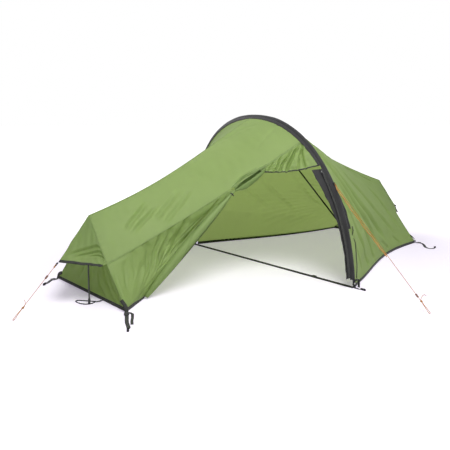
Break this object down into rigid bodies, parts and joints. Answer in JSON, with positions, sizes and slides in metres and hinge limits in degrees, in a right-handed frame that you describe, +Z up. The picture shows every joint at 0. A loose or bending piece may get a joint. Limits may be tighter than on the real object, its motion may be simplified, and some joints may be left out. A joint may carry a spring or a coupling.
{
  "type": "trekking tent",
  "caption": "Low outer tent on one hoop pole, with short end poles under two hooded vents, the door tied back, straps, buckles and guylines",
  "frame": {"origin": "on the ground, at the middle of the ground strap's underside, between the hoop's two feet", "axes": "+X along the tent to the end with no door beside it, -Y the door side, +Z up"},
  "size_m": [3.3817, 2.1811, 1.0039],
  "materials": {
    "fly_cloth": "coated green nylon, faint ripstop grid",
    "black_cloth": "black woven nylon",
    "edge_tape": "dark grey folded binding tape",
    "webbing": "black woven webbing",
    "pole_tube": "anodised tube",
    "black_pole": "black tube with a rubber foot",
    "black_plastic": "moulded black plastic",
    "guy_cord": "orange braided cord",
    "zip_tape": "zip tape with moulded teeth",
    "zip_metal": "cast slider"
  },
  "bodies": {
    "pitched_tent": {"roof_panel_near_left": "fly_cloth", "side_panel_near_left": "fly_cloth", "door_gusset": "fly_cloth", "door_roll": "fly_cloth", "door_fold": "fly_cloth", "fly_panel_near_right": "fly_cloth", "fly_panel_far_left": "fly_cloth", "fly_panel_far_right": "fly_cloth", "end_wall_left": "fly_cloth", "end_wall_right": "fly_cloth", "hood_left": "fly_cloth", "hood_right": "fly_cloth", "pole_sleeve": "black_cloth", "sleeve_flap": "black_cloth", "door_zip_flap": "black_cloth", "base_binding_left": "edge_tape", "base_binding_right": "edge_tape", "hood_binding_left": "edge_tape", "hood_binding_right": "edge_tape", "ground_strap": "webbing", "corner_strap_near_left": "webbing", "corner_strap_far_left": "webbing", "corner_strap_near_right": "webbing", "corner_strap_far_right": "webbing", "end_foot_strap_left": "webbing", "end_foot_strap_right": "webbing", "hoop_foot_strap_near": "webbing", "hoop_foot_strap_far": "webbing", "guy_tab_left": "webbing", "guy_tab_right": "webbing", "guy_tab_near": "webbing", "guy_tab_far": "webbing", "door_tie_loop": "webbing", "inner_tension_strap": "webbing", "hoop_pole_section_1": "pole_tube", "hoop_pole_section_2": "pole_tube", "hoop_pole_section_3": "pole_tube", "hoop_pole_section_4": "pole_tube", "hoop_pole_section_5": "pole_tube", "hoop_pole_section_6": "pole_tube", "hoop_pole_section_7": "pole_tube", "hoop_pole_tip_near": "black_plastic", "hoop_pole_tip_far": "black_plastic", "end_pole_cap_left": "black_plastic", "end_pole_cap_right": "black_plastic", "guy_line_left": "guy_cord", "guy_line_near": "guy_cord", "zip_tape": "zip_tape"},
    "zip_slider": {"zip_slider": "zip_metal"},
    "zip_pull": {"zip_pull": "black_plastic"},
    "door_toggle": {"door_toggle": "black_plastic"},
    "end_pole_left": {"end_pole_left": "black_pole"},
    "end_pole_right": {"end_pole_right": "black_pole"},
    "ground_strap_buckle": {"ground_strap_buckle": "black_plastic"},
    "corner_buckle_near_left": {"corner_buckle_near_left": "black_plastic"},
    "corner_buckle_far_left": {"corner_buckle_far_left": "black_plastic"},
    "corner_buckle_near_right": {"corner_buckle_near_right": "black_plastic"},
    "corner_buckle_far_right": {"corner_buckle_far_right": "black_plastic"},
    "guy_runner_left": {"guy_runner_left": "black_plastic"},
    "guy_runner_near": {"guy_runner_near": "black_plastic"}
  },
  "joints": [
    {"name": "zip_travel", "type": "hinge", "parent": "pitched_tent", "child": "zip_slider", "pos_m": [0.00077, 0.46857, -0.03826], "axis": [0.9998, 0, 0.02], "range_deg": [0, 29]},
    {"name": "zip_pull_swing", "type": "hinge", "parent": "zip_slider", "child": "zip_pull", "pos_m": [-0.05291, -0.5509, 0.67011], "axis": [0.9998, 0, 0.02], "range_deg": [-150, 0]},
    {"name": "toggle_turn", "type": "hinge", "parent": "pitched_tent", "child": "door_toggle", "pos_m": [-0.51486, -0.2797, 0.54433], "axis": [0.025, -0.9755, -0.2188], "range_deg": [-80, 80]},
    {"name": "end_pole_left_swing", "type": "hinge", "parent": "pitched_tent", "child": "end_pole_left", "pos_m": [-1.292, 0.014, 0.4275], "axis": [0, 1, 0], "range_deg": [0, 25]},
    {"name": "end_pole_right_swing", "type": "hinge", "parent": "pitched_tent", "child": "end_pole_right", "pos_m": [1.428, 0.09, 0.4275], "axis": [0, -1, 0], "range_deg": [0, 25]},
    {"name": "ground_buckle_tilt", "type": "hinge", "parent": "pitched_tent", "child": "ground_strap_buckle", "pos_m": [0, -0.446, 0.0044], "axis": [-1, 0, 0], "range_deg": [0, 35]},
    {"name": "corner_buckle_near_left_tilt", "type": "hinge", "parent": "pitched_tent", "child": "corner_buckle_near_left", "pos_m": [-1.26329, -0.32369, 0.0044], "axis": [-0.8734, 0.487, 0], "range_deg": [0, 35]},
    {"name": "corner_buckle_far_left_tilt", "type": "hinge", "parent": "pitched_tent", "child": "corner_buckle_far_left", "pos_m": [-1.27344, 0.52092, 0.0044], "axis": [-0.0721, 0.9974, 0], "range_deg": [0, 35]},
    {"name": "corner_buckle_near_right_tilt", "type": "hinge", "parent": "pitched_tent", "child": "corner_buckle_near_right", "pos_m": [1.39378, -0.31664, 0.0044], "axis": [-0.9162, -0.4008, 0], "range_deg": [0, 35]},
    {"name": "corner_buckle_far_right_tilt", "type": "hinge", "parent": "pitched_tent", "child": "corner_buckle_far_right", "pos_m": [1.40138, 0.5344, 0.0044], "axis": [0.4881, -0.8728, 0], "range_deg": [0, 35]},
    {"name": "runner_left_slide", "type": "slide", "parent": "pitched_tent", "child": "guy_runner_left", "axis": [-0.7298, -0.1035, -0.6757], "range_m": [-0.05, 0.15]},
    {"name": "runner_near_slide", "type": "slide", "parent": "pitched_tent", "child": "guy_runner_near", "axis": [-0.0619, -0.757, -0.6505], "range_m": [-0.6, 0.01]}
  ]
}
